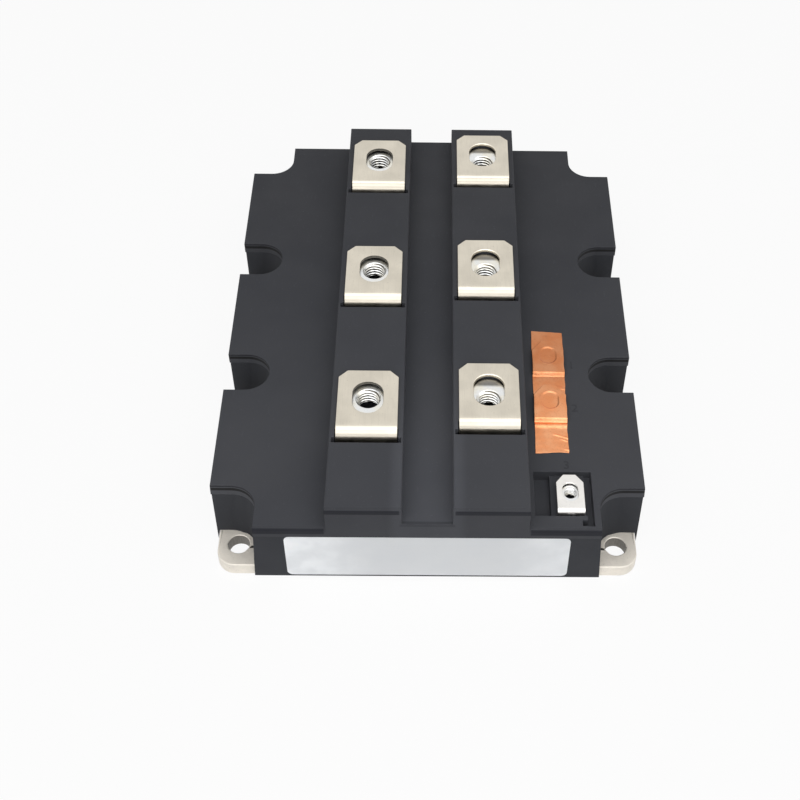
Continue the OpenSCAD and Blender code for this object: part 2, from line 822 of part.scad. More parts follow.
module substrate_ceramic(i) {
    color("#e8e6df") on_tile(i) {
        slab([-tile_w / 2, tile_w / 2], [-tile_l / 2, tile_l / 2], ceramic_z, ceramic_t);
    }
}

// Solid copper below; above, a collector area, an emitter strip and two gate tracks
module substrate_copper(i) {
    w = pad_w / 2;
    l = pad_l / 2;
    color("#c98a5e") on_tile(i) {
        slab([-w, w], [-l, l], plate_t, copper_t);
        slab([-w, rail_edge - pad_gap], [strip_low, strip_high], pad_z, copper_t);
        for (s = [-1, 1]) {
            y = s * pin_y;
            slab([-w, rail_edge - pad_gap], [y - track_w / 2, y + track_w / 2], pad_z, copper_t);
        }
        translate([0, 0, pad_z]) linear_extrude(height = copper_t) {
            plan_rect([rail_edge, w], [-l, l]);
            plan_rect([-w, rail_edge], [strip_high + pad_gap, field_end]);
            plan_rect([-w, rail_edge], [-field_end, strip_low - pad_gap]);
        }
    }
}

module die(x, y, w) {
    slab([x - w / 2, x + w / 2], [y - die_l / 2, y + die_l / 2], pad_top, die_t);
}

module transistor_dies(i) {
    color("#8d9299") on_tile(i) {
        for (y = [near_die_y, far_die_y], k = [0, 1]) die(die_xs[k], y, igbt_w);
    }
}

module diode_dies(i) {
    color("#a5a9ae") on_tile(i) {
        for (y = [near_die_y, far_die_y]) die(die_xs[2], y, diode_w);
    }
}

// Bond wire from a die at y = 0 down to the copper at y = span
module bond_wire(span) {
    top = pad_top + wire_rise;
    crest = span * 0.4;
    along_x(-wire_w / 2, wire_w / 2) polygon([
        [0, die_top], [wire_foot, die_top], [crest, top - wire_w],
        [span - wire_foot, pad_top], [span, pad_top], [crest, top]
    ]);
}

module die_wires(x, w, y, toward, strip_edge, count) {
    for (k = [0:count - 1]) translate([x + w * ((k + 1) / (count + 1) - 0.5), y, 0]) {
        mirror([0, toward > 0 ? 0 : 1, 0]) bond_wire(abs(strip_edge - y));
    }
}

module bond_wires(i) {
    track = pin_y + track_w / 4;
    color("#d9dadb") on_tile(i) {
        for (k = [0, 1, 2]) {
            w = k < 2 ? igbt_w : diode_w;
            die_wires(die_xs[k], w, far_die_y, -1, strip_high - wire_bite, 2);
            die_wires(die_xs[k], w, near_die_y, 1, strip_low + wire_bite, 2);
        }
        for (k = [0, 1]) {
            die_wires(die_xs[k], igbt_w, far_die_y + die_l / 4, 1, track, 1);
            die_wires(die_xs[k], igbt_w, near_die_y - die_l / 4, -1, -track, 1);
        }
    }
}

// ---- gate board, pins and gel ----

module board_plan() {
    plan_rect([board_in, board_out], [-board_end, board_end]);
    plan_rect([-board_out, -board_in], [-board_end, board_end]);
    for (y = [-link_y, link_y]) plan_rect([-board_out, board_out], [y - link_w / 2, y + link_w / 2]);
    for (at = [gate_at, emitter_sense_at]) {
        y = at[1] - aux_hole_set;
        plan_rect([board_in, arm_end], [y - link_w / 2, y + link_w / 2]);
    }
}

module gate_board() {
    color("#3f7a4c") translate([0, 0, board_z]) linear_extrude(height = board_t) board_plan();
}

module gate_pins() {
    color("#c9b98a") for (i = [1:6], sy = [-1, 1]) {
        x = tile_side(i) * board_x;
        y = tile_y(i) + sy * pin_y;
        slab([x - pin_w / 2, x + pin_w / 2], [y - pin_w / 2, y + pin_w / 2], pad_top, board_z - pad_top);
    }
}

// Gel over and between the substrates, clear of the dies and wires below it
module silicone_gel() {
    color("#bcd3dc", 0.6) difference() {
        frame_block(frame_wall, plate_t, gel_z);
        for (i = [1:6]) on_tile(i) {
            block([-tile_w / 2, tile_w / 2], [-tile_l / 2, tile_l / 2],
                [plate_t - over, plate_t + gel_clear]);
        }
        translate([0, 0, board_z]) linear_extrude(height = board_t) board_plan();
        for (i = [1:3]) {
            collector_terminal(i);
            emitter_terminal(i);
        }
        gate_terminal();
        emitter_sense_terminal();
        collector_sense_terminal();
        gate_pins();
    }
}

// ---- the nodes ----

base_plate();
case_frame();
cover();
for (i = [1:3]) {
    collector_terminal(i);
    emitter_terminal(i);
    aux_nut(i);
}
for (i = [1:6]) {
    main_nut(i);
    substrate_ceramic(i);
    substrate_copper(i);
    transistor_dies(i);
    diode_dies(i);
    bond_wires(i);
}
gate_terminal();
emitter_sense_terminal();
collector_sense_terminal();
shorting_tape();
blank_label();
gate_board();
gate_pins();
silicone_gel();
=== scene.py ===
"""Looks of a power semiconductor module: mouldings, plated sheet terminals, captive nuts, foil and stage."""

import math

import bmesh
import bpy
import numpy as np
from mathutils import Matrix, Vector


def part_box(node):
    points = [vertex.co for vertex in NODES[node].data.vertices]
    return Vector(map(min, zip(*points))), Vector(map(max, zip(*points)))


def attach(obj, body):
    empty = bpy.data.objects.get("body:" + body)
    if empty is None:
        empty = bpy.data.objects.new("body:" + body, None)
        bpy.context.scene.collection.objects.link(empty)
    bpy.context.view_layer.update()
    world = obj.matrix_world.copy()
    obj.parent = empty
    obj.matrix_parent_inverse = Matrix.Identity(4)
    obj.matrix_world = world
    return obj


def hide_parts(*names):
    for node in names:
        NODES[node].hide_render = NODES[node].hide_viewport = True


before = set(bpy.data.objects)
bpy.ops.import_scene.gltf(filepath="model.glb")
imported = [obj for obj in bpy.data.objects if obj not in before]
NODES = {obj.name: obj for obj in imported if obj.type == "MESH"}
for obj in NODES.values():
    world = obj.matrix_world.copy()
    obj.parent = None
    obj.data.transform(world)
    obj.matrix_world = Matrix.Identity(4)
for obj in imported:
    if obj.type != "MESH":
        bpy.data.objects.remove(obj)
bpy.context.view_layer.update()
MM = 0.001

# The housing: Y of its near and far face, X of the ridges' sides, tops of the wings, the valley and the
# ridges, and X and Y where the near corner cut-outs start.
NEAR_FACE, FAR_FACE = -95.0 * MM, 95.0 * MM
RIDGE_IN, RIDGE_OUT = 8.0 * MM, 32.0 * MM
WING_TOP, VALLEY_TOP, RIDGE_TOP = 26.6 * MM, 29.6 * MM, 36.8 * MM
CUT_OUT_X, CUT_OUT_Y = 54.0 * MM, -60.0 * MM
# The screw holes' X and Y in one quarter of the base plate, and a radius just outside their walls.
HOLE_X, HOLES_Y = 62.0 * MM, (28.5 * MM, 85.5 * MM)
HOLE_REACH = 3.8 * MM

bl_info = {
    "name": "Power module dressing",
    "version": (1, 0, 0),
    "blender": (4, 5, 0),
    "location": "View3D > Sidebar > Module",
    "description": "Dresses a power module's solids with finished pieces and sets it on a plain stage",
    "category": "Object",
}


# ---- node values as Python expressions ----


class Signal:
    """The output of a node. Arithmetic on it adds the nodes that work the result out."""

    def __init__(self, finish, socket):
        self.finish = finish
        self.socket = socket

    def _join(self, operation, first, second):
        """A node that joins two values, part by part if either is a colour or a vector."""
        wide = any(isinstance(v, Signal) and v.socket.type in {"RGBA", "VECTOR"} for v in (first, second))
        kind = "ShaderNodeVectorMath" if wide else "ShaderNodeMath"
        values = [(v,) * 3 if wide and isinstance(v, (int, float)) else v for v in (first, second)]
        return self.finish.node(kind, {"operation": operation}, {0: values[0], 1: values[1]})

    def __add__(self, other):
        return self._join("ADD", self, other)

    def __radd__(self, other):
        return self._join("ADD", other, self)

    def __sub__(self, other):
        return self._join("SUBTRACT", self, other)

    def __rsub__(self, other):
        return self._join("SUBTRACT", other, self)

    def __mul__(self, other):
        return self._join("MULTIPLY", self, other)

    def __rmul__(self, other):
        return self._join("MULTIPLY", other, self)

    def __truediv__(self, other):
        return self._join("DIVIDE", self, other)

    def __rtruediv__(self, other):
        return self._join("DIVIDE", other, self)

    def __pow__(self, other):
        return self._join("POWER", self, other)

    def __neg__(self):
        return self._join("MULTIPLY", self, -1.0)


class Finish:
    """The nodes of a material, or of the world, in the making."""

    def __init__(self, name, holder=None):
        self.material = holder or bpy.data.materials.new(name)
        self.material.use_nodes = True
        self.tree = self.material.node_tree
        self.tree.nodes.clear()
        self.coordinates = None

    @property
    def place(self):
        """The place in the object's own coordinates."""
        if not self.coordinates:
            self.coordinates = self.node("ShaderNodeTexCoord", {}, {}, "Object")
        return self.coordinates

    def node(self, kind, settings, inputs, out=0):
        """Adds a node: its settings first, then the values or links of its sockets."""
        made = self.tree.nodes.new(kind)
        for key, value in settings.items():
            setattr(made, key, value)
        for key, value in inputs.items():
            if isinstance(value, Signal):
                self.tree.links.new(value.socket, made.inputs[key])
            else:
                made.inputs[key].default_value = value
        return Signal(self, made.outputs[out])

    def axis(self, name):
        """One coordinate of the place, in metres."""
        return self.node("ShaderNodeSeparateXYZ", {}, {0: self.place}, name)

    def spread(self, scale):
        """The place, stretched by a scale along each axis."""
        return self.node("ShaderNodeMapping", {}, {"Vector": self.place, "Scale": scale})

    def grain(self, scale, detail=2.0, place=None):
        """Even noise from 0 to 1 with that many spots per metre."""
        inputs = {"Vector": place or self.place, "Scale": scale, "Detail": detail}
        return self.node("ShaderNodeTexNoise", {}, inputs)

    def fade(self, value, low, high, start=0.0, end=1.0):
        """Goes smoothly from start to end while value goes from low to high."""
        return self.node(
            "ShaderNodeMapRange",
            {"interpolation_type": "SMOOTHSTEP"},
            {"Value": value, "From Min": low, "From Max": high, "To Min": start, "To Max": end},
        )

    def beyond(self, value, low, high):
        """0 while value's size is under low, and 1 when it is over high."""
        return self.fade(value * value, low**2, high**2)

    def band(self, value, low, high, soft):
        """1 where value lies between low and high, and 0 further than soft outside them."""
        return self.fade(value, low - soft, low) * self.fade(value, high, high + soft, 1.0, 0.0)

    def blend(self, factor, first, second):
        """Mixes two colours."""
        first, second = (v if isinstance(v, Signal) else tuple(v)[:3] + (1.0,) for v in (first, second))
        return self.node("ShaderNodeMix", {"data_type": "RGBA"}, {0: factor, 6: first, 7: second}, 2)

    def bump(self, height, depth, strength=1.0, under=None):
        """A relief of that depth in metres."""
        inputs = {"Height": height, "Distance": depth, "Strength": strength}
        if under:
            inputs["Normal"] = under
        return self.node("ShaderNodeBump", {}, inputs)

    def surface(self, **sockets):
        """Closes the material with one shader; a socket's name has its spaces written as underscores."""
        inputs = {name.replace("_", " "): value for name, value in sockets.items()}
        for name, value in inputs.items():
            if name.endswith("Color") and not isinstance(value, Signal):
                inputs[name] = tuple(value)[:3] + (1.0,)
        return self.close(self.node("ShaderNodeBsdfPrincipled", {}, inputs))

    def close(self, shader, kind="ShaderNodeOutputMaterial"):
        """Joins the last shader to the output."""
        output = self.tree.nodes.new(kind)
        self.tree.links.new(shader.socket, output.inputs["Surface"])
        return self.material


def tint(colour, factor):
    """A colour with each part multiplied by factor."""
    return tuple(c * factor for c in tuple(colour)[:3])


# ---- finishes ----


def moulded_finish(name, colour, gloss, painted_falloff=0.0, painted_shading=False):
    """Matte filled moulding: slow drift of tone, faint pale specks, handling sheen and a fine eroded texture.
    Its fourth argument is painted light falling off along Y: the near end that much paler than the middle,
    and the far end darker. Its last flag adds the cover's painted light and shade."""
    f = Finish(name)
    drift = f.fade(f.grain(22.0, 3.0), 0.35, 0.65)
    tone = f.blend(drift, tint(colour, 0.95), (colour[0] * 1.06, colour[1] * 1.05, colour[2] * 1.03))
    # painted light: paler towards the near end, darker towards the far end
    if painted_falloff:
        far = f.fade(f.axis("Y"), NEAR_FACE, FAR_FACE)
        tone = f.blend(far, tone * (1 + painted_falloff), tone * (1 - painted_falloff))
    specks = f.fade(f.grain(1500.0, 1.0), 0.70, 0.78)
    fibres = f.fade(f.grain(900.0, 2.0, f.spread((1.0, 0.25, 1.0))), 0.60, 0.80)
    tone = f.blend(specks * 0.30, tone, tint(colour, 2.2))
    tone = f.blend(fibres * 0.18, tone, tint(colour, 1.6))
    # the cover's painted light and shade
    if painted_shading:
        tone = painted_light_and_shade(f, tone)
    sheen = f.fade(f.grain(55.0, 4.0), 0.30, 0.75)
    texture = f.grain(2600.0, 2.0)
    return f.surface(
        Base_Color=tone,
        Roughness=gloss + 0.10 - sheen * 0.12,
        Specular_IOR_Level=0.22,
        Normal=f.bump(texture + f.grain(420.0, 2.0) * 0.6, 0.03 * MM, 0.55),
    )


def painted_light_and_shade(f, tone):
    """Painted light and shade on the cover. The valley's near end is painted paler as painted light, and the
    near face is darkened as painted shade. Dark lines of painted shade run under each top edge of the near
    face, and two run round the corner cut-outs: along their chamfer's top and under its foot."""
    x, y, z = f.axis("X"), f.axis("Y"), f.axis("Z")
    near = f.fade(y, NEAR_FACE + 0.9 * MM, NEAR_FACE + 1.2 * MM, 1.0, 0.0)
    wing = f.beyond(x, RIDGE_OUT + 0.2 * MM, RIDGE_OUT + 0.8 * MM)
    valley = 1 - f.beyond(x, RIDGE_IN + 0.4 * MM, RIDGE_IN + 1.0 * MM)
    ridge = (1 - wing) * (1 - valley)
    outer = f.beyond(x, CUT_OUT_X - 0.8 * MM, CUT_OUT_X) * (1 - near)
    # painted light: the valley's near end is lifted paler
    patch_mask = 1 - f.beyond(x, RIDGE_IN + 1.0 * MM, RIDGE_IN + 5.0 * MM)
    patch_mask = patch_mask * f.fade(y, -80 * MM, -20 * MM, 1.0, 0.0)
    # painted shade: dark lines under the near face's top edges
    lines = sum(
        part * f.band(z, top - low * MM, top - high * MM, 0.3 * MM) * depth
        for part, top, low, high, depth in (
            (wing, WING_TOP, 2.5, 0.6, 0.80),
            (ridge, RIDGE_TOP, 2.3, 0.9, 0.80),
            (valley, VALLEY_TOP, 1.2, 0.3, 0.30),
        )
    )
    # painted shade round the corner cut-outs: a line along the chamfer's top and one under its foot
    upper = f.band(z, WING_TOP - 0.60 * MM, WING_TOP - 0.07 * MM, 0.06 * MM)
    lower = f.band(z, WING_TOP - 2.10 * MM, WING_TOP - 1.05 * MM, 0.12 * MM)
    tone = f.blend(patch_mask * 0.9, tone, tone * 1.42)
    # painted shade darkens the near face and lays the lines above on it
    for share, colour in (
        (near * 0.36, (0.003, 0.0035, 0.006)),
        (near * lines, (0.003, 0.0035, 0.008)),
        (outer * upper * 0.72, (0.004, 0.004, 0.007)),
        (outer * lower * 0.90, (0.001, 0.001, 0.001)),
    ):
        tone = f.blend(share, tone, colour)
    return tone


def plated_finish(name, colour, gloss, streaks=(2600.0, 160.0, 2600.0), blotch=0.10, metal=1.0, folds=None):
    """Dull nickel plating: cloudy tone, fine rolling lines, tiny dark pits and rubbed patches.
    With folds, a row of sheets' first bend and pitch along Y and their top, the sheet starts to dip softly
    before each bend, below its top it is darkened by painted shade that dims the bend's highlight, and a
    painted shade line runs along it."""
    f = Finish(name)
    cloud = f.fade(f.grain(95.0, 4.0), 0.30, 0.70)
    lines = f.grain(1.0, 2.0, f.spread(streaks))
    pits = f.fade(f.grain(1900.0, 1.0), 0.70, 0.78)
    tone = f.blend(cloud, tint(colour, 1 - blotch), tint(colour, 1 + blotch * 0.4))
    tone = f.blend(f.fade(lines, 0.45, 0.72) * 0.25, tone, tint(colour, 0.80))
    tone = f.blend(pits * 0.45, tone, tint(colour, 0.45))
    patch_mask = f.fade(f.grain(260.0, 3.0), 0.40, 0.75)
    dip = None
    if folds:
        first, pitch, top = folds
        behind = f.node("ShaderNodeMath", {"operation": "FLOORED_MODULO"}, {0: f.axis("Y") - first, 1: pitch})
        near = f.node("ShaderNodeClamp", {}, {0: 1.0 - behind / (3.4 * MM)})
        dip = f.bump(near * near * -0.7 * MM, 1.0)
        z = f.axis("Z")
        # painted shade: below its top the sheet is darkened to dim the bend's highlight, and a dark line is
        # painted along the bend
        bend = f.fade(z, top - 0.7 * MM, top - 0.1 * MM, 0.45, 0.0)
        painted_fold_line = 1 - f.beyond(z - (top - 1.25 * MM), 0.10 * MM, 0.34 * MM)
        tone = f.blend(bend, tone, tint(colour, 0.62))
        tone = f.blend(painted_fold_line * 0.5, tone, tint(colour, 0.42))
    return f.surface(
        Base_Color=tone,
        Metallic=metal,
        Roughness=gloss - patch_mask * 0.08 + lines * 0.06,
        Normal=f.bump(lines + f.grain(700.0, 3.0) * 0.8, 0.02 * MM, 0.5, dip),
    )


def sheared_finish(name, colour, metal, gloss):
    """The wall of a punched hole: fine upright tear lines over mottled metal."""
    f = Finish(name)
    lines = f.fade(f.grain(1.0, 2.0, f.spread((5200.0, 5200.0, 500.0))), 0.35, 0.70)
    tone = f.blend(lines * 0.5, colour, tint(colour, 0.6))
    return f.surface(
        Base_Color=tone,
        Metallic=metal,
        Roughness=gloss + lines * 0.14,
        Normal=f.bump(lines, 0.02 * MM, 0.4),
    )


def zinc_finish(name, colour, gloss):
    """Bright zinc on steel: bluish, faintly yellowed in places, finely marked, and darkened by painted shade
    where the piece's painted shade attribute is high."""
    f = Finish(name)
    passivation = f.fade(f.grain(240.0, 3.0), 0.40, 0.70)
    tone = f.blend(passivation, colour, (colour[0] * 1.04, colour[1] * 0.99, colour[2] * 0.88))
    marks = f.grain(2200.0, 2.0)
    tone = f.blend(f.fade(marks, 0.55, 0.80) * 0.3, tone, tint(colour, 0.62))
    # painted shade read from the nut: thread valleys, bore ends and the terminal's shadow on the flange
    painted_nut_shade = f.node("ShaderNodeAttribute", {"attribute_name": "painted_nut_shade"}, {}, "Fac")
    shade = (colour[0] * 0.085, colour[1] * 0.07, colour[2] * 0.05)
    tone = f.blend(f.fade(painted_nut_shade, 0.15, 0.75) * 0.95, tone, shade)
    return f.surface(
        Base_Color=tone,
        Metallic=1.0,
        Roughness=gloss + marks * 0.12,
        Normal=f.bump(marks, 0.02 * MM, 0.4),
    )


def foil_finish(name, colour, gloss, near, far):
    """Copper foil: rosy and yellow patches, darker handled spots, fine drawn lines and tiny crumples, and a
    painted reflection that makes the tone darker and browner from near to far along Y."""
    f = Finish(name)
    patches = f.fade(f.grain(170.0, 4.0), 0.32, 0.68)
    yellow = (colour[0] * 1.02, colour[1] * 1.10, colour[2] * 1.18)
    rosy = (colour[0] * 0.97, colour[1] * 0.86, colour[2] * 0.78)
    tone = f.blend(patches, yellow, rosy)
    handled = f.fade(f.grain(520.0, 4.0), 0.56, 0.76)
    tone = f.blend(handled * 0.28, tone, tint(colour, 0.62))
    # painted reflection: the tone darkens and browns from near to far along Y
    tone = f.blend(f.fade(f.axis("Y"), near, far), tone, tone * (0.70, 0.66, 0.64))
    specks = f.fade(f.grain(2300.0, 2.0), 0.58, 0.72)
    tone = f.blend(specks * 0.35, tone, tint(colour, 0.45))
    drawn = f.grain(1.0, 3.0, f.spread((500.0, 2600.0, 2600.0)))
    crumple = f.grain(900.0, 4.0)
    return f.surface(
        Base_Color=tone,
        Metallic=1.0,
        Roughness=gloss + handled * 0.10 + drawn * 0.05,
        Normal=f.bump(drawn * 0.5 + crumple, 0.11 * MM, 0.7),
    )


def label_finish(name, colour, half):
    """Satin film label of that half length: paler towards both ends as a painted reflection, with faint
    mottling and scuffs.
    """
    f = Finish(name)
    x = f.axis("X")
    mottle = f.fade(f.grain(130.0, 4.0), 0.30, 0.72)
    # painted reflection: paler towards both ends, more towards negative X
    tone = f.blend(f.fade(-x, half * 0.30, half), colour, tint(colour, 1.40))
    tone = f.blend(f.fade(x, half * 0.45, half), tone, tint(colour, 1.24))
    cooler = (colour[0] * 0.965, colour[1] * 0.972, colour[2] * 0.985)
    tone = f.blend(mottle * 0.5, tone, cooler)
    scuffs = f.fade(f.grain(1.0, 3.0, f.spread((90.0, 90.0, 1400.0))), 0.66, 0.80)
    tone = f.blend(scuffs * 0.10, tone, tint(colour, 0.80))
    return f.surface(
        Base_Color=tone,
        Roughness=0.42 + mottle * 0.10,
        Specular_IOR_Level=0.4,
        Normal=f.bump(f.grain(1600.0, 2.0), 0.01 * MM, 0.35),
    )


def inner_finish(name, colour, scale, metallic, gloss, contrast):
    """Plain inner part: mottled tone, uneven gloss and a fine relief at the part's own grain."""
    f = Finish(name)
    mottle = f.fade(f.grain(scale, 3.0), 0.30, 0.70)
    tone = f.blend(mottle, tint(colour, 1 - contrast), tint(colour, 1 + contrast))
    fine = f.grain(scale * 6, 2.0)
    return f.surface(
        Base_Color=tone,
        Metallic=metallic,
        Roughness=gloss + fine * 0.12,
        Normal=f.bump(fine, 0.01 * MM, 0.4),
    )


def gel_finish(name, colour):
    """Clear soft gel with faint cloudiness."""
    f = Finish(name)
    cloud = f.fade(f.grain(60.0, 3.0), 0.30, 0.70)
    return f.surface(
        Base_Color=f.blend(cloud, tint(colour, 0.92), colour),
        Roughness=0.12 + cloud * 0.08,
        Alpha=0.35 + cloud * 0.15,
        Normal=f.bump(f.grain(90.0, 2.0), 0.2 * MM, 0.3),
    )


# ---- meshes ----


def grid_faces(rows, columns, wrap_rows=False, wrap_columns=False):
    """Quads between neighbours of a grid of points; a wrapped side joins its last line to its first."""
    r, c = np.meshgrid(
        np.arange(rows if wrap_rows else rows - 1),
        np.arange(columns if wrap_columns else columns - 1),
        indexing="ij",
    )
    r2, c2 = (r + 1) % rows, (c + 1) % columns
    corners = (r * columns + c, r2 * columns + c, r2 * columns + c2, r * columns + c2)
    return np.stack(corners, -1).reshape(-1, 4)


def make_piece(name, points, faces, material, sharp=35.0):
    """An object at the origin from an array of points and an array of quads, smooth except at sharp edges."""
    mesh = bpy.data.meshes.new(name)
    mesh.from_pydata(points.reshape(-1, 3).tolist(), [], faces.tolist())
    mesh.materials.append(material)
    mesh.validate()
    mesh.shade_smooth()
    mesh.set_sharp_from_angle(angle=math.radians(sharp))
    piece = bpy.data.objects.new(name, mesh)
    bpy.context.scene.collection.objects.link(piece)
    return piece


def evaluated_mesh(source):
    """The finished mesh of an object, which is removed."""
    bpy.context.view_layer.update()
    mesh = bpy.data.meshes.new_from_object(source.evaluated_get(bpy.context.evaluated_depsgraph_get()))
    bpy.data.objects.remove(source)
    return mesh


def cut_mesh(node, name, cutter=None):
    """A copy of a solid's mesh, less what the cutter takes from it. The cutter is used up."""
    mesh = NODES[node].data.copy()
    mesh.name = name
    if cutter:
        whole = bpy.data.objects.new(name, mesh)
        bpy.context.scene.collection.objects.link(whole)
        cut = whole.modifiers.new("cut", "BOOLEAN")
        cut.operation = "DIFFERENCE"
        cut.solver = "EXACT"
        cut.object = cutter
        mesh = evaluated_mesh(whole)
        bpy.data.objects.remove(cutter)
    return mesh


BROAD = 3  # how many times wider a broad edge is rounded than the others


def eased_copy(node, name, material, width, segments=2, broad=None, cutter=None, sheared=None, moved=None):
    """A merged copy of a solid with its sharp edges rounded by width, its points first moved by a function.
    Edges for which broad is true of their middle are rounded more. Upright faces for which sheared[0] is true
    of their middle get the second material, sheared[1]."""
    mesh = cut_mesh(node, name, cutter)
    shape = bmesh.new()
    shape.from_mesh(mesh)
    bmesh.ops.remove_doubles(shape, verts=shape.verts, dist=2e-6)
    bmesh.ops.join_triangles(
        shape,
        faces=shape.faces,
        angle_face_threshold=math.radians(0.5),
        angle_shape_threshold=math.radians(60),
    )
    if moved:
        for vert in shape.verts:
            vert.co = moved(vert.co)
    weights = shape.edges.layers.float.new("bevel_weight_edge")
    for edge in shape.edges:
        if len(edge.link_faces) == 2 and edge.calc_face_angle() > math.radians(30):
            centre = (edge.verts[0].co + edge.verts[1].co) / 2
            edge[weights] = 1.0 if broad and broad(centre) else 1 / BROAD
    for face in shape.faces:
        face.smooth = True
        upright = abs(face.normal.z) < 0.5
        face.material_index = int(bool(sheared and upright and sheared[0](face.calc_center_median())))
    mesh.materials.clear()
    mesh.materials.append(material)
    if sheared:
        mesh.materials.append(sheared[1])
    shape.to_mesh(mesh)
    shape.free()
    piece = bpy.data.objects.new(name, mesh)
    bpy.context.scene.collection.objects.link(piece)
    ease = piece.modifiers.new("eased edges", "BEVEL")
    ease.width = width * BROAD
    ease.segments = segments
    ease.limit_method = "WEIGHT"
    ease.use_clamp_overlap = False
    even = piece.modifiers.new("even shading", "WEIGHTED_NORMAL")
    even.mode = "FACE_AREA"
    even.weight = 100
    even.keep_sharp = True
    return piece


def stand_for(piece, slot, *nodes):
    """The piece rides on the body and stands for those solids."""
    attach(piece, "root")
    if nodes:
        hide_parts(*nodes)
    return piece


def dress(material, *names):
    """Gives carried-over solids their material."""
    for name in names:
        mesh = NODES[name].data
        mesh.materials.clear()
        mesh.materials.append(material)


def middle(node):
    """The middle of a solid's box."""
    low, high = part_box(node)
    return (low + high) / 2


def nut_points(centre, across, low, high, bore, pitch, root, flange, around, per_turn):
    """A nut as a closed section turned round its axis.
    The section goes up the bore, out over the top, round a flange if it has one, down the side and back in
    under the nut.
    The bore's radius is the larger of a countersink cone and a thread, whose radius rises and falls
    along the height and shifts by one pitch per turn. The side's radius is that of a hexagon at the angle,
    and a 30 degree cone cuts its corners at both faces. The second array is painted shade: dark in the
    thread's valleys and at both ends of the bore, and where the terminal shades the flange."""
    height = high - low
    angle = np.linspace(0, 2 * np.pi, around, endpoint=False)[None, :]
    rise = np.linspace(0, height, int(height / pitch * per_turn) + 1)[:, None]
    phase = (rise / pitch - angle / (2 * np.pi)) % 1.0
    flank = np.clip((np.abs(phase - 0.5) * 2 - 0.16) / 0.68, 0, 1)
    thread = bore + (root - bore) * (1 - flank)
    edge = np.minimum(rise, height - rise)
    cone = bore * 1.27 - edge
    bore_r = np.maximum(thread, cone)
    # painted shade in the thread's valleys, and at both ends of the bore below
    painted_nut_shade = np.clip((thread - bore) / (root - bore), 0, 1) * (thread >= cone)
    shade = np.where(edge < 0.15 * MM, 0.25, painted_nut_shade)
    wrapped = (angle + np.pi / 6) % (np.pi / 3) - np.pi / 6
    side = across / 2 / np.cos(wrapped)
    face = across / 2 - 0.3 * MM
    drop = np.maximum(side - face, 0) * math.tan(math.radians(30))
    ones = np.ones_like(angle)
    lip = face - 0.12 * MM
    top_r = [lip * ones, face * ones, side]
    top_z = [height * ones, (height - 0.02 * MM) * ones, height - drop - 0.03 * MM]
    if flange:  # the rings lie closer together where the terminal's shade ends
        top_r = [r * MM * ones for r in (4.8, 5.4, 5.8, 6.2, 6.6, 7.1, 8.2)]
        top_z = [height * ones] * len(top_r)
        top_r += [(flange - 0.25 * MM) * ones, flange * ones, flange * ones, side]
        top_z += [(height - sunk * MM) * ones for sunk in (0.0, 0.2, 1.1, 1.5)]
    radii = np.concatenate([bore_r, *top_r, side, face * ones, lip * ones])
    heights = np.concatenate([rise * ones, *top_z, drop + 0.03 * MM, 0.02 * MM * ones, 0 * ones])
    x = centre[0] + radii * np.cos(angle)
    y = centre[1] + radii * np.sin(angle)
    # painted shade where the terminal shades the flange's far side
    under = np.clip((radii * np.sin(angle) - 5.0 * MM) / (1.5 * MM), 0, 1) * 0.60
    depth = np.where(np.arange(radii.shape[0])[:, None] < shade.shape[0], 0, under)
    depth[: shade.shape[0]] = shade
    return np.stack([x, y, low + heights], -1), depth


def paint(piece, name, values):
    """Stores one number for each point of a piece, for its material to read."""
    layer = piece.data.attributes.new(name, "FLOAT", "POINT")
    layer.data.foreach_set("value", values.ravel().astype(np.float32))


# The foil's slanting creases, in mm: place along it, half width, height and reach across it.
FOIL_CREASES = (
    (8.2, 0.40, 0.26, 1.0),
    (6.9, 0.30, 0.16, -1.0),
    (3.1, 0.40, 0.30, -2.0),
    (30.0, 0.7, 0.30, -1.5),
    (47.0, 0.5, 0.16, -2.0),
)


def hump(value, centre, width):
    """A smooth hump of height 1 at centre: e to minus the square of the distance over width."""
    return np.exp(-(((value - centre) / width) ** 2))


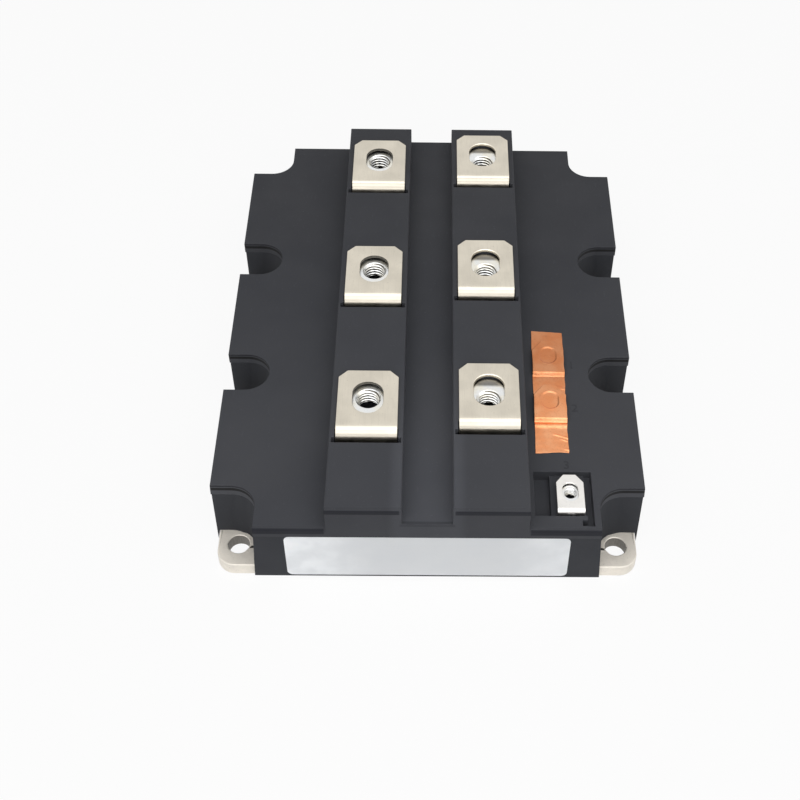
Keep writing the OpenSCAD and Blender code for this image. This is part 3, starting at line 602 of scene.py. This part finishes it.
def foil_points(size, tabs, top, rise, slot, rows, columns):
    """Foil draped over the wing and two tabs, as a height over its own length and width.
    The height is the sum of a step round each tab, which falls over a soft distance outside the tab's outline
    with cut far corners, a shallow dish over each slotted hole, a kink in front of the lower tab, cross
    ripples that grow towards the free end, slanting creases and broad crumples. Its sides waver a little."""
    length, width = size
    s = np.linspace(0, 1, rows)[:, None]
    t = np.linspace(-1, 1, columns)[None, :]
    along = s * length + 0.25 * MM * (1 - s) * np.sin(2.1 * t + 0.6)
    along = along - 0.35 * MM * (s > 0.5) * (s - 0.5) * 2 * t
    waver = 1 + 0.012 * np.sin(s * 23.0 + 1.0)
    waver = waver + 0.010 * np.sin(s * 61.0) * (t > 0) - 0.012 * (1 - s) * (t > 0)
    across = t * width / 2 * waver
    high = np.zeros_like(across)
    dish = np.zeros_like(across)
    for near, far, hole, half, cut in tabs:
        out_x = (np.abs(across) - half) * 0.08
        out_y = np.maximum(near - along, along - far)
        corner = (np.abs(across) - (half - cut[0])) * cut[1] + (along - (far - cut[1])) * cut[0]
        corner = (corner - cut[0] * cut[1]) / math.hypot(*cut)
        outside = np.maximum(np.maximum(out_x, out_y), corner)
        soft = np.where(along < near, 1.3 * MM, 0.6 * MM)
        step = np.clip(1 - np.maximum(outside, 0) / soft, 0, 1)
        high = np.maximum(high, rise * step * step * (3 - 2 * step))
        past = np.maximum(np.abs(along - hole) - (slot[1] - slot[0]) / 2, 0)
        r = np.hypot(across, past) / (slot[0] / 2)
        dish = dish + 0.30 * MM * np.clip((1.14 - r) / 0.22, 0, 1) - 0.07 * MM * hump(r, 1.22, 0.09)
    first = tabs[0][0]
    kink = 0.50 * MM * hump(along, first - 2.4 * MM, 0.9 * MM)
    towards = np.clip(1 - along / (18 * MM), 0, 1)
    ripples = 0.06 * MM * np.sin(along / MM * 2.4 + 0.5 * np.sin(across / MM * 0.8)) * towards
    diagonal = across * 0.35 + along
    creases = sum(
        peak * MM * hump(diagonal, at * MM, wide * MM) * np.clip((across / MM + reach) / 3, 0, 1)
        for at, wide, peak, reach in FOIL_CREASES
    )
    u, v = across / MM, along / MM
    crumple = 0.03 * MM * np.sin(u * 1.7 + v * 0.9) * np.sin(v * 1.3 - u * 0.6)
    free = np.clip(high / rise, 0, 1)
    height = top + high - dish + (kink + ripples + creases) * (1 - free) + crumple
    return across, along, height


def turned(across, along, height, origin, angle):
    """Places a strip's own coordinates on the module."""
    x = origin[0] + across * math.cos(angle) - along * math.sin(angle)
    y = origin[1] + across * math.sin(angle) + along * math.cos(angle)
    return np.stack([x, y, height], -1)


# ---- what a user would change ----


class ModuleFinishes(bpy.types.PropertyGroup):
    """Colours of the module's pieces."""

    cover: bpy.props.FloatVectorProperty(
        name="Cover",
        description="Colour of the moulded cover",
        default=(0.0546, 0.0568, 0.0650),
        subtype="COLOR",
        min=0,
        max=1,
    )
    walls: bpy.props.FloatVectorProperty(
        name="Walls",
        description="Colour of the moulded frame",
        default=(0.031, 0.033, 0.039),
        subtype="COLOR",
        min=0,
        max=1,
    )
    plate: bpy.props.FloatVectorProperty(
        name="Base plate",
        description="Colour of the plated base plate",
        default=(0.90, 0.845, 0.755),
        subtype="COLOR",
        min=0,
        max=1,
    )
    strap: bpy.props.FloatVectorProperty(
        name="Terminals",
        description="Colour of the main terminals",
        default=(0.67, 0.62, 0.525),
        subtype="COLOR",
        min=0,
        max=1,
    )
    sense: bpy.props.FloatVectorProperty(
        name="Sense terminals",
        description="Colour of the sense terminals",
        default=(0.85, 0.83, 0.795),
        subtype="COLOR",
        min=0,
        max=1,
    )
    zinc: bpy.props.FloatVectorProperty(
        name="Nuts",
        description="Colour of the zinc plated nuts",
        default=(0.80, 0.81, 0.81),
        subtype="COLOR",
        min=0,
        max=1,
    )
    foil: bpy.props.FloatVectorProperty(
        name="Foil",
        description="Colour of the copper foil",
        default=(0.80, 0.35, 0.165),
        subtype="COLOR",
        min=0,
        max=1,
    )
    label: bpy.props.FloatVectorProperty(
        name="Label",
        description="Colour of the bare label",
        default=(0.72, 0.735, 0.75),
        subtype="COLOR",
        min=0,
        max=1,
    )


class ModuleSizes(bpy.types.PropertyGroup):
    """Small sizes that the solids leave out."""

    moulding_edge: bpy.props.FloatProperty(
        name="Moulding edge",
        description="Rounding of the mouldings' edges",
        default=0.16 * MM,
        min=0,
        unit="LENGTH",
        precision=5,
    )
    plate_edge: bpy.props.FloatProperty(
        name="Plate edge",
        description="Rounding of the base plate's edges",
        default=0.45 * MM,
        min=0,
        unit="LENGTH",
        precision=5,
    )
    sheet_edge: bpy.props.FloatProperty(
        name="Sheet edge",
        description="Rounding of the punched terminals' edges",
        default=0.16 * MM,
        min=0,
        unit="LENGTH",
        precision=5,
    )
    flange: bpy.props.FloatProperty(
        name="Nut flange",
        description="Radius of the main nuts' flange",
        default=9.4 * MM,
        min=0,
        unit="LENGTH",
        precision=5,
    )
    main_pitch: bpy.props.FloatProperty(
        name="Main thread pitch",
        description="Pitch of the main nuts' thread",
        default=1.25 * MM,
        min=0,
        unit="LENGTH",
        precision=5,
    )
    sense_pitch: bpy.props.FloatProperty(
        name="Sense thread pitch",
        description="Pitch of the sense nuts' thread",
        default=0.7 * MM,
        min=0,
        unit="LENGTH",
        precision=5,
    )
    foil_thickness: bpy.props.FloatProperty(
        name="Foil thickness",
        description="Thickness of the copper foil",
        default=0.10 * MM,
        min=0,
        unit="LENGTH",
        precision=5,
    )


class ModuleStage(bpy.types.PropertyGroup):
    """Light and floor."""

    floor: bpy.props.FloatVectorProperty(
        name="Floor",
        description="Colour of the floor",
        default=(0.93, 0.93, 0.93),
        subtype="COLOR",
        min=0,
        max=1,
    )
    key_power: bpy.props.FloatProperty(
        name="Overhead lamp",
        description="Power of the overhead softbox",
        default=6.0,
        min=0,
        unit="POWER",
    )
    front_power: bpy.props.FloatProperty(
        name="Front lamp",
        description="Power of the front softbox",
        default=3.1,
        min=0,
        unit="POWER",
    )
    side_power: bpy.props.FloatProperty(
        name="Side lamp",
        description="Power of the side fill",
        default=0.25,
        min=0,
        unit="POWER",
    )
    around: bpy.props.FloatProperty(
        name="Room light",
        description="Strength of the even light all round",
        default=0.15,
        min=0,
        max=1,
        subtype="FACTOR",
    )
    whiteness: bpy.props.FloatProperty(
        name="Floor whiteness",
        description="Share of plain white in the seen floor",
        default=0.92,
        min=0,
        max=1,
        subtype="FACTOR",
    )


# ---- operators ----


class ModuleOperator:
    """What the operators share."""

    bl_options = {"REGISTER", "UNDO"}

    def groups(self):
        """The colours, the small sizes and the stage's settings."""
        scene = bpy.context.scene
        return scene.module_finishes, scene.module_sizes, scene.module_stage


class MODULE_OT_mouldings(ModuleOperator, bpy.types.Operator):
    """Make the moulded cover and frame"""

    bl_idname = "module.mouldings"
    bl_label = "Mouldings"

    def execute(self, context):
        colours, sizes, _ = self.groups()
        # 0.17 is painted light falling off along Y, and True adds the cover's painted light and shade
        finish = moulded_finish("cover moulding", tuple(colours.cover), 0.60, 0.17, True)
        edge, cutter = sizes.moulding_edge, self.flange_cutter(sizes)
        cover = eased_copy("cover", "moulded_cover", finish, edge, cutter=cutter, moved=self.drafted)
        stand_for(cover, "cover_plastic", "cover")
        finish = moulded_finish("frame moulding", tuple(colours.walls), 0.62)
        walls = eased_copy("case_frame", "moulded_frame", finish, edge, moved=self.drafted)
        stand_for(walls, "frame_plastic", "case_frame")
        return {"FINISHED"}

    def drafted(self, place):
        """Moves the near corner cut-outs' walls out, the more the lower they are and the further from the
        near face, and lifts the frame's outermost corner at the foot."""
        if abs(place.x) < CUT_OUT_X + 0.5 * MM or place.y > CUT_OUT_Y:
            return place
        if abs(place.x) > 69 * MM and place.z < 3 * MM:
            return Vector((place.x, place.y - 2.0 * MM, 4.3 * MM))
        depth = max(WING_TOP - place.z, 0.0) / WING_TOP
        inward = min(max(place.y - NEAR_FACE, 0.0) / (10 * MM), 1.0)
        flare = math.copysign(0.8 * MM, place.x) if abs(place.x) > 60 * MM else 0.0
        return place + Vector((flare * depth * inward, -2.2 * MM * depth * inward, 0))

    def flange_cutter(self, sizes):
        """Flat discs that sink the main nuts' flanges into the ridges, under the terminals."""
        cutter = bmesh.new()
        radius = sizes.flange + 0.15 * MM
        for i in range(1, 7):
            at = middle(f"main_nut_{i}")
            at.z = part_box(f"main_nut_{i}")[1].z
            bmesh.ops.create_cone(
                cutter,
                cap_ends=True,
                segments=64,
                radius1=radius,
                radius2=radius,
                depth=2.4 * MM,
                matrix=Matrix.Translation(at),
            )
        mesh = bpy.data.meshes.new("flange_cutter")
        cutter.to_mesh(mesh)
        cutter.free()
        holder = bpy.data.objects.new("flange_cutter", mesh)
        bpy.context.scene.collection.objects.link(holder)
        return holder


class MODULE_OT_base_plate(ModuleOperator, bpy.types.Operator):
    """Make the plated base plate"""

    bl_idname = "module.base_plate"
    bl_label = "Base plate"

    def execute(self, context):
        colours, sizes, _ = self.groups()
        finish = plated_finish("plated base", tuple(colours.plate), 0.50, (900.0, 900.0, 900.0), 0.10, 0.35)
        bore = sheared_finish("drilled bore", tint(tuple(colours.plate), 0.30), 0.45, 0.50)
        sheared = (self.in_bore, bore)
        plate = eased_copy("base_plate", "plated_base", finish, sizes.plate_edge, 3, sheared=sheared)
        stand_for(plate, "nickel_plate", "base_plate")
        return {"FINISHED"}

    def in_bore(self, place):
        """True of places within a screw hole."""
        return any(math.hypot(abs(place.x) - HOLE_X, abs(place.y) - y) < HOLE_REACH for y in HOLES_Y)


class MODULE_OT_main_terminals(ModuleOperator, bpy.types.Operator):
    """Make the folded main terminals"""

    bl_idname = "module.main_terminals"
    bl_label = "Main terminals"

    def execute(self, context):
        colours, sizes, _ = self.groups()
        dark = sheared_finish("sheared slot wall", tint(tuple(colours.strap), 0.22), 0.55, 0.46)
        pale = sheared_finish("burnished slot wall", tint(tuple(colours.strap), 1.30), 1.0, 0.26)
        for side in ("collector", "emitter"):
            ends = [self.flat_top(f"{side}_terminal_{i}") for i in (1, 2)]
            folds = (ends[0][0][1] - 1.1 * MM, ends[1][0][1] - ends[0][0][1], ends[0][1][2])
            finish = plated_finish(f"plated {side} strap", tuple(colours.strap), 0.34, folds=folds)
            for i in (1, 2, 3):
                node = f"{side}_terminal_{i}"
                rolled = side == "emitter"
                strap = eased_copy(
                    node,
                    f"{side}_strap_{i}",
                    finish,
                    sizes.sheet_edge,
                    segments=3,
                    broad=self.near_slot(node, 0.01 * MM) if rolled else None,
                    sheared=(self.near_slot(node, 9.0 * MM), pale if rolled else dark),
                    moved=self.drawn_in(node),
                )
                stand_for(strap, "terminal_nickel", node)
        return {"FINISHED"}

    def drawn_in(self, node):
        """Moves a strap's fold back and its far end forward a little, where the sheet is drawn in."""
        low, high, _ = self.flat_top(node)

        def move(place):
            fold, far_end = place.y < low[1] + 2 * MM, place.y > high[1] - 5 * MM
            step = 0.55 * MM * fold - 0.50 * MM * far_end
            return place + Vector((0, step if place.z > high[2] - 8 * MM else 0, 0))

        return move

    def flat_top(self, node):
        """The lowest and highest corner and all the points of a terminal's flat top."""
        points = np.array([v.co for v in NODES[node].data.vertices])
        flat = points[points[:, 2] > points[:, 2].max() - 0.02 * MM]
        return flat.min(0), flat.max(0), flat

    def near_slot(self, node, depth):
        """A test that is true of places within the terminal's slot and no deeper than that below its top."""
        low, high, flat = self.flat_top(node)
        half_x, half_y = 5.4 * MM, 7.1 * MM
        x = (low[0] + high[0]) / 2
        beside = np.abs(flat[:, 0] - x) < half_x + 0.1 * MM
        inner = flat[beside & (flat[:, 1] > low[1] + 4 * MM) & (flat[:, 1] < high[1] - 3 * MM), 1]
        y = (inner.min() + inner.max()) / 2

        def test(place):
            return abs(place.x - x) < half_x and abs(place.y - y) < half_y and place.z > high[2] - depth

        return test


class MODULE_OT_sense_terminals(ModuleOperator, bpy.types.Operator):
    """Make the small sense terminals"""

    bl_idname = "module.sense_terminals"
    bl_label = "Sense terminals"

    def execute(self, context):
        colours, sizes, _ = self.groups()
        finish = plated_finish("plated sense tab", tuple(colours.sense), 0.30, (900.0, 900.0, 900.0), 0.05)
        edge = sizes.sheet_edge * 0.7
        for name in ("gate", "emitter_sense", "collector_sense"):
            sink = Vector((0, 0, 0 if name == "collector_sense" else -0.55 * MM))
            node, moved = f"{name}_terminal", lambda place: place + sink
            tab = eased_copy(node, f"{name}_tab", finish, edge, moved=moved)
            stand_for(tab, "sense_nickel", node)
        return {"FINISHED"}


class MODULE_OT_nuts(ModuleOperator, bpy.types.Operator):
    """Make the threaded captive nuts"""

    bl_idname = "module.nuts"
    bl_label = "Captive nuts"

    def execute(self, context):
        colours, sizes, _ = self.groups()
        finish = zinc_finish("zinc nut", tuple(colours.zinc), 0.24)
        rng = np.random.default_rng(7)
        for kind, count, bore, root, pitch, flange, sunk, around, steps in (
            ("main", 6, 3.35, 4.02, sizes.main_pitch, sizes.flange, 0.3 * MM, 108, 12),
            ("aux", 3, 1.65, 2.02, sizes.sense_pitch, 0.0, 0.0, 72, 10),
        ):
            for i in range(1, count + 1):
                node = f"{kind}_nut_{i}"
                low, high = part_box(node)
                shift = rng.uniform(-0.12, 0.12, 2) * MM
                centre = ((low.x + high.x) / 2 + shift[0], (low.y + high.y) / 2 + shift[1] - sunk)
                width, foot, top = high.x - low.x, low.z, high.z - sunk
                points, depth = nut_points(
                    centre, width, foot, top, bore * MM, pitch, root * MM, flange, around, steps
                )
                faces = grid_faces(points.shape[0], points.shape[1], True, True)
                nut = make_piece(f"threaded_{node}", points, faces, finish)
                # the nut's painted shade, for its material to read
                paint(nut, "painted_nut_shade", depth)
                stand_for(nut, "zinc", node)
        return {"FINISHED"}


class MODULE_OT_foil(ModuleOperator, bpy.types.Operator):
    """Drape the copper foil over the gate and emitter sense terminals"""

    bl_idname = "module.foil"
    bl_label = "Shorting foil"

    def execute(self, context):
        colours, sizes, _ = self.groups()
        low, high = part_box("shorting_tape")
        length, width, turn = 55.3 * MM, 11.0 * MM, math.radians(-0.7)
        rise, slack = 1.4 * MM, 0.05 * MM
        half, cut, slot, slot_back = 4.4 * MM, (2.4 * MM, 3.1 * MM), (5.3 * MM, 7.2 * MM), 7.8 * MM
        x = middle("emitter_sense_terminal").x
        near = low.y + width / 2 * math.sin(abs(turn))
        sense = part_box("emitter_sense_terminal"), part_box("gate_terminal")
        tabs = [(tab[0].y - near, tab[1].y - near, tab[0].y + slot_back - near, half, cut) for tab in sense]
        top = sense[0][1].z - rise + slack + sizes.foil_thickness
        across, along, height = foil_points((length, width), tabs, top, rise, slot, 420, 110)
        points = turned(across, along, height, (x, near), turn)
        faces = grid_faces(points.shape[0], points.shape[1])[:, ::-1]
        finish = foil_finish("copper foil", tuple(colours.foil), 0.33, near + 12 * MM, high.y - 12 * MM)
        foil = make_piece("copper_foil", points, faces, finish, 60.0)
        wall = foil.modifiers.new("foil thickness", "SOLIDIFY")
        wall.thickness = sizes.foil_thickness
        wall.offset = -1.0
        stand_for(foil, "copper_tape", "shorting_tape")
        return {"FINISHED"}


class MODULE_OT_label(ModuleOperator, bpy.types.Operator):
    """Finish the bare label"""

    bl_idname = "module.label"
    bl_label = "Bare label"

    def execute(self, context):
        colours, _, _ = self.groups()
        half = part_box("blank_label")[1].x
        dress(label_finish("label film", tuple(colours.label), half), "blank_label")
        return {"FINISHED"}


class MODULE_OT_numerals(ModuleOperator, bpy.types.Operator):
    """Emboss a plain numeral beside each sense terminal"""

    bl_idname = "module.numerals"
    bl_label = "Numerals"

    def execute(self, context):
        colours, _, _ = self.groups()
        finish = moulded_finish("numeral moulding", tint(tuple(colours.cover), 0.86), 0.60)
        names = ("gate_terminal", "emitter_sense_terminal", "collector_sense_terminal")
        gate, emitter, collector = (middle(name) for name in names)
        places = (
            ("1", gate.x + 8.6 * MM, gate.y - 3.0 * MM),
            ("2", emitter.x + 8.6 * MM, emitter.y - 2.0 * MM),
            ("3", collector.x - 0.5 * MM, collector.y + 12.2 * MM),
        )
        for digit, x, y in places:
            curve = bpy.data.curves.new(f"numeral_{digit}", "FONT")
            curve.body = digit
            curve.size = 4.6 * MM
            curve.extrude = 0.06 * MM
            curve.align_x = "CENTER"
            curve.align_y = "CENTER"
            writing = bpy.data.objects.new(f"numeral_{digit}_curve", curve)
            bpy.context.scene.collection.objects.link(writing)
            mesh = evaluated_mesh(writing)
            mesh.name = f"numeral_{digit}"
            mesh.transform(Matrix.Translation((x, y, WING_TOP + 0.03 * MM)))
            mesh.materials.clear()
            mesh.materials.append(finish)
            piece = bpy.data.objects.new(f"numeral_{digit}", mesh)
            bpy.context.scene.collection.objects.link(piece)
            stand_for(piece, "cover_plastic")
        return {"FINISHED"}


class MODULE_OT_inside(ModuleOperator, bpy.types.Operator):
    """Finish the parts inside the housing"""

    bl_idname = "module.inside"
    bl_label = "Inside"

    def execute(self, context):
        groups = (
            ("fired ceramic", (0.80, 0.79, 0.74), 900.0, 0.0, 0.55, 0.04, "substrate_ceramic_"),
            ("bare copper", (0.72, 0.36, 0.22), 500.0, 1.0, 0.36, 0.12, "substrate_copper_"),
            ("metallised transistor", (0.42, 0.44, 0.47), 1400.0, 1.0, 0.22, 0.08, "transistor_dies_"),
            ("metallised diode", (0.52, 0.53, 0.55), 1400.0, 1.0, 0.24, 0.08, "diode_dies_"),
            ("drawn aluminium wire", (0.80, 0.80, 0.81), 3000.0, 1.0, 0.26, 0.06, "bond_wires_"),
        )
        for name, colour, scale, metallic, gloss, contrast, node in groups:
            finish = inner_finish(name, colour, scale, metallic, gloss, contrast)
            dress(finish, *[f"{node}{i}" for i in range(1, 7)])
        dress(inner_finish("gate board laminate", (0.06, 0.20, 0.08), 700.0, 0.0, 0.38, 0.15), "gate_board")
        dress(inner_finish("tinned pin", (0.70, 0.63, 0.42), 1500.0, 1.0, 0.28, 0.08), "gate_pins")
        dress(gel_finish("clear gel", (0.55, 0.66, 0.70)), "silicone_gel")
        return {"FINISHED"}


class MODULE_OT_stage(ModuleOperator, bpy.types.Operator):
    """Set the floor, the light and the camera"""

    bl_idname = "module.stage"
    bl_label = "Stage"

    def execute(self, context):
        _, _, stage = self.groups()
        self.lay_floor(stage)
        self.light_room(stage)
        self.aim_camera()
        bpy.context.scene.view_settings.view_transform = "Standard"
        return {"FINISHED"}

    def seen(self, f):
        """1 for rays that look straight, in a mirror or through glass."""
        path = f.tree.nodes.new("ShaderNodeLightPath")
        camera, glossy, through = (
            Signal(f, path.outputs[n]) for n in ("Is Camera Ray", "Is Glossy Ray", "Is Transmission Ray")
        )
        return f.node("ShaderNodeClamp", {}, {0: camera + glossy + through})

    def lay_floor(self, stage):
        """A pale floor that takes the part's shadow."""
        f = Finish("studio floor")
        faint = f.fade(f.grain(6.0, 2.0), 0.3, 0.7)
        tone = f.blend(faint, tint(tuple(stage.floor), 0.99), tuple(stage.floor))
        cloth = f.node("ShaderNodeBsdfDiffuse", {}, {"Color": tone})
        white = f.node("ShaderNodeEmission", {}, {"Color": (1, 1, 1, 1), "Strength": 1.0})
        mixed = f.node("ShaderNodeMixShader", {}, {0: self.seen(f) * stage.whiteness, 1: cloth, 2: white})
        f.close(mixed)
        half, lines = 3.0, 9
        side = np.linspace(-half, half, lines)
        x, y = np.meshgrid(side, side, indexing="ij")
        points = np.stack([x, y, np.full_like(x, -0.2 * MM)], -1)
        floor = make_piece("studio_floor", points, grid_faces(lines, lines), f.material)

    def light_room(self, stage):
        """White surroundings, which light the part less than they show, and soft lamps."""
        world = bpy.context.scene.world or bpy.data.worlds.new("room")
        bpy.context.scene.world = world
        room = Finish("room", world)
        strength = self.seen(room) * (1.0 - stage.around) + stage.around
        back = room.node("ShaderNodeBackground", {}, {"Color": (1, 1, 1, 1), "Strength": strength})
        room.close(back, "ShaderNodeOutputWorld")
        target = Vector((0.0, 0.0, 0.02))
        self.softbox("overhead_softbox", stage.key_power, (1.7, 0.9), (0.0, -0.42, 0.80), target)
        self.softbox("front_softbox", stage.front_power, (1.7, 0.7), (0.0, -0.95, 0.45), target)
        self.softbox("left_fill", stage.side_power, (0.5, 0.5), (-0.9, -0.3, 0.5), target)
        self.softbox("right_fill", stage.side_power * 1.7, (0.5, 0.5), (0.9, -0.3, 0.5), target)

    def softbox(self, name, power, size, place, target):
        """A rectangular lamp that faces the target."""
        lamp = bpy.data.lights.new(name, "AREA")
        lamp.shape = "RECTANGLE"
        lamp.size, lamp.size_y = size
        lamp.energy = power
        holder = bpy.data.objects.new(name, lamp)
        holder.location = place
        holder.rotation_euler = (target - Vector(place)).to_track_quat("-Z", "Y").to_euler()
        bpy.context.scene.collection.objects.link(holder)

    def aim_camera(self):
        """Looks down on the near face by the lift, turned by the yaw and leaning by the roll."""
        lift, yaw, roll = (math.radians(a) for a in (48.634, -1.071, 1.247))
        back = Vector((math.sin(yaw) * math.cos(lift), -math.cos(yaw) * math.cos(lift), math.sin(lift)))
        right = Vector((math.cos(yaw), math.sin(yaw), 0.0))
        up = back.cross(right)
        side = right * math.cos(roll) + up * math.sin(roll)
        top = up * math.cos(roll) - right * math.sin(roll)
        lens = bpy.data.cameras.new("module_camera")
        lens.sensor_width = 36.0
        lens.lens = 61.572
        lens.shift_x = -0.0625
        lens.clip_start = 0.01
        lens.dof.use_dof = False
        camera = bpy.data.objects.new("module_camera", lens)
        place = Matrix((side, top, back)).transposed().to_4x4()
        place.translation = Vector((1.468, -347.504, 375.102)) * MM
        camera.matrix_world = place
        bpy.context.scene.collection.objects.link(camera)
        bpy.context.scene.camera = camera


OPERATORS = (
    MODULE_OT_mouldings,
    MODULE_OT_base_plate,
    MODULE_OT_main_terminals,
    MODULE_OT_sense_terminals,
    MODULE_OT_nuts,
    MODULE_OT_foil,
    MODULE_OT_label,
    MODULE_OT_numerals,
    MODULE_OT_inside,
    MODULE_OT_stage,
)


class MODULE_PT_dressing(bpy.types.Panel):
    """Lists the module's pieces and settings"""

    bl_idname = "MODULE_PT_dressing"
    bl_label = "Module"
    bl_space_type = "VIEW_3D"
    bl_region_type = "UI"
    bl_category = "Module"

    def draw(self, context):
        for operator in OPERATORS:
            self.layout.operator(operator.bl_idname)
        for group in (context.scene.module_finishes, context.scene.module_sizes, context.scene.module_stage):
            box = self.layout.box()
            for name in group.__annotations__:
                box.prop(group, name)


GROUPS = {"module_finishes": ModuleFinishes, "module_sizes": ModuleSizes, "module_stage": ModuleStage}


def register():
    """Adds the settings, the operators and the panel."""
    for cls in (*GROUPS.values(), *OPERATORS, MODULE_PT_dressing):
        bpy.utils.register_class(cls)
    for name, group in GROUPS.items():
        setattr(bpy.types.Scene, name, bpy.props.PointerProperty(type=group))


def unregister():
    """Takes them away again."""
    for name in GROUPS:
        delattr(bpy.types.Scene, name)
    for cls in reversed((*GROUPS.values(), *OPERATORS, MODULE_PT_dressing)):
        bpy.utils.unregister_class(cls)


def main():
    """Makes every piece and the stage."""
    register()
    for operator in OPERATORS:
        space, name = operator.bl_idname.split(".")
        getattr(getattr(bpy.ops, space), name)()


if __name__ == "__main__":
    main()
